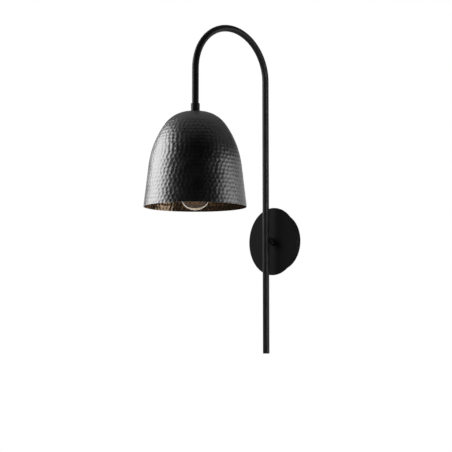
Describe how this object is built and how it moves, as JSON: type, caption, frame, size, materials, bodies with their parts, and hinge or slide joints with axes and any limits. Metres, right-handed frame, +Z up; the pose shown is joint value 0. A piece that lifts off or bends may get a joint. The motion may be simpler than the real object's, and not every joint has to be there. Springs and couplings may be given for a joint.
{
  "type": "wall lamp",
  "caption": "Wall lamp with a round wall plate, an arched tube arm and a hammered bell shade that opens downwards over a screw-base bulb.",
  "frame": {"origin": "middle of the wall plate on the wall plane, halfway between the wall screw slots", "axes": "+Z up along the stem, +Y into the wall, the arm and shade reach out along -Y, X along the wall"},
  "size_m": [0.202, 0.3355, 0.6672],
  "materials": {
    "black_paint": "satin black powder coat",
    "hammered_black": "hammered sheet, satin black outside and copper brown inside",
    "black_screw": "blackened steel",
    "zinc_steel": "zinc plated",
    "brass": "plain",
    "tinned_copper": "tinned",
    "white_nylon": "moulded",
    "black_pvc": "extruded sheath",
    "brown_pvc": "extruded insulation",
    "blue_pvc": "extruded insulation",
    "earth_pvc": "extruded insulation",
    "black_bakelite": "moulded",
    "white_ceramic": "unglazed",
    "solder": "solder",
    "black_glass": "black insulating glass",
    "nickel_cap": "plated",
    "clear_glass": "clear blown glass",
    "mount_glass": "clear pressed glass",
    "nickel_wire": "drawn wire",
    "filament_coat": "phosphor coat"
  },
  "bodies": {
    "fixture": {"wall_bracket": "zinc_steel", "canopy_drum": "black_paint", "canopy_disc": "black_paint", "canopy_screws": "black_screw", "canopy_nipple": "zinc_steel", "canopy_nut": "zinc_steel", "canopy_washer": "zinc_steel", "earth_screw": "brass", "earth_tag": "tinned_copper", "earth_core": "earth_pvc", "terminal_block": "white_nylon", "terminal_inserts": "brass", "terminal_screws": "zinc_steel", "block_screws": "zinc_steel", "spacer_sleeve": "black_paint", "stem_boss": "black_paint", "arm_tube": "black_paint", "stem_end_plug": "black_paint", "lamp_flex": "black_pvc", "live_core": "brown_pvc", "neutral_core": "blue_pvc", "shade_collar": "black_paint", "shade_shell": "hammered_black", "shade_rod": "zinc_steel", "shade_washer": "zinc_steel", "rod_nuts": "zinc_steel", "holder_cap": "black_bakelite", "holder_body": "black_bakelite", "holder_insert": "white_ceramic", "holder_sleeve": "brass", "holder_screws": "brass", "centre_contact": "brass"},
    "bulb": {"bulb_contact": "solder", "bulb_cap_insulator": "black_glass", "bulb_cap": "nickel_cap", "bulb_glass": "clear_glass", "bulb_mount": "mount_glass", "bulb_supports": "nickel_wire", "bulb_filaments": "filament_coat"}
  },
  "joints": [
    {"name": "bulb_removal", "type": "slide", "parent": "fixture", "child": "bulb", "axis": [0, 0, -1], "range_m": [0, 0.11]}
  ]
}
